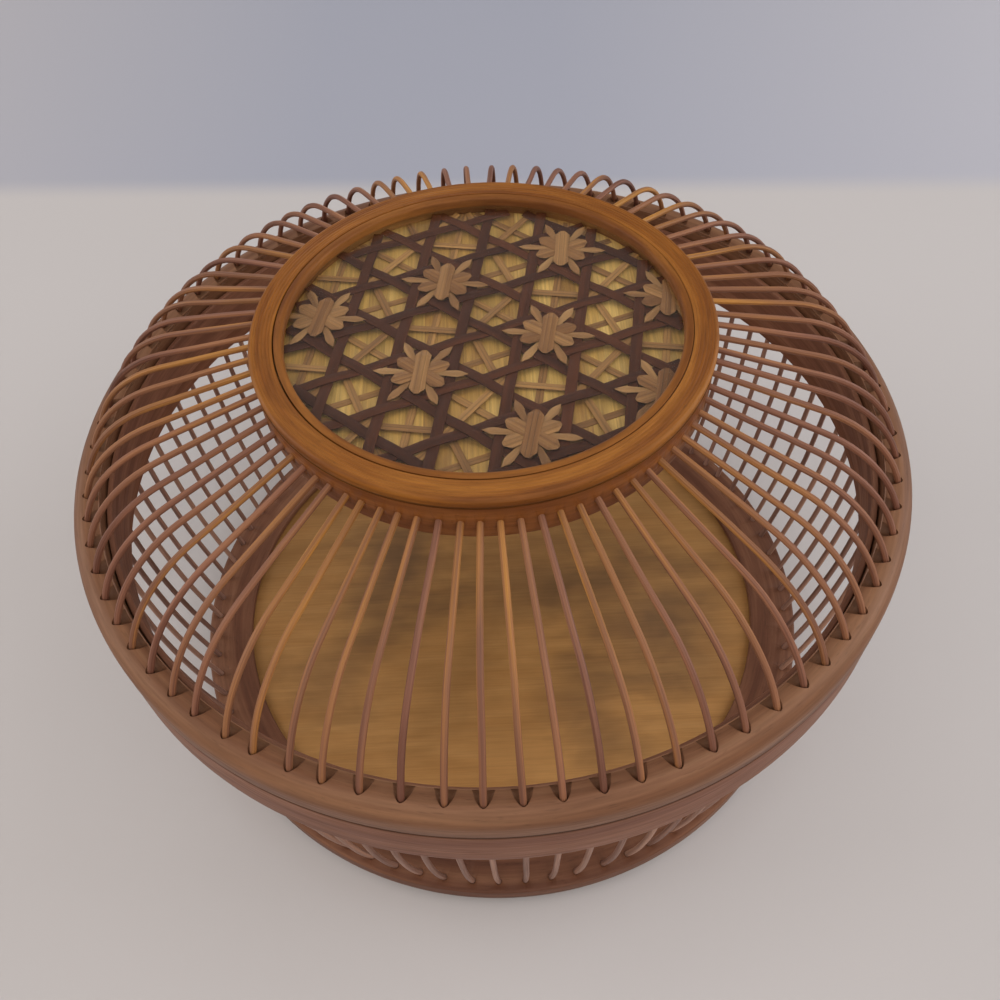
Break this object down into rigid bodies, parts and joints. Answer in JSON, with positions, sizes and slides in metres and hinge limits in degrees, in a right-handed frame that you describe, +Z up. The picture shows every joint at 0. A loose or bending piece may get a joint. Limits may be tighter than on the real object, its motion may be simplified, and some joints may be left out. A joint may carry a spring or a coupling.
{
  "type": "bamboo cricket cage",
  "caption": "Round split-bamboo cricket cage: a ribbed bowl with a flat floor, and a ribbed lid that lifts off and holds a woven panel under a clear disc in its crown.",
  "frame": {"origin": "centre of the underside of the foot ring", "axes": "+Z up along the axis of the rings, -Y towards the viewer of the picture, +X to the right"},
  "size_m": [0.24, 0.24, 0.1425],
  "materials": {
    "bowl_rib_bamboo": "satin",
    "lid_rib_bamboo": "satin",
    "base_bamboo": "satin",
    "floor_veneer": "matte",
    "rim_bamboo": "satin",
    "dark_crown_bamboo": "satin",
    "bright_crown_bamboo": "satin",
    "straw_veneer": "satin",
    "natural_strip": "satin",
    "dark_strip": "satin",
    "star_straw": "satin",
    "clear_sheet": "gloss"
  },
  "bodies": {
    "bowl": {"foot_ring": "base_bamboo", "floor_board": "floor_veneer", "base_ring": "base_bamboo", "bowl_ribs_front": "bowl_rib_bamboo", "bowl_ribs_right": "bowl_rib_bamboo", "bowl_ribs_back": "bowl_rib_bamboo", "bowl_ribs_left": "bowl_rib_bamboo", "bowl_rim": "rim_bamboo", "locating_hoop": "rim_bamboo"},
    "lid": {"lid_rim": "rim_bamboo", "lid_ribs_front": "lid_rib_bamboo", "lid_ribs_right": "lid_rib_bamboo", "lid_ribs_back": "lid_rib_bamboo", "lid_ribs_left": "lid_rib_bamboo", "crown_socket_ring": "dark_crown_bamboo", "backing_veneer": "straw_veneer", "cross_strips_along_a": "natural_strip", "cross_strips_along_b": "natural_strip", "cross_strips_along_c": "natural_strip", "cross_strips_across_a": "natural_strip", "cross_strips_across_b": "natural_strip", "cross_strips_across_c": "natural_strip", "weave_strips_a": "dark_strip", "weave_strips_b": "dark_strip", "weave_strips_c": "dark_strip", "star_long_rays": "star_straw", "star_short_rays": "star_straw", "spacer_hoop": "dark_crown_bamboo", "clear_disc": "clear_sheet", "retaining_hoop": "bright_crown_bamboo", "crown_ring": "bright_crown_bamboo"}
  },
  "joints": [
    {"name": "lid_lift", "type": "slide", "parent": "bowl", "child": "lid", "axis": [0, 0, 1], "range_m": [0, 0.12]}
  ]
}
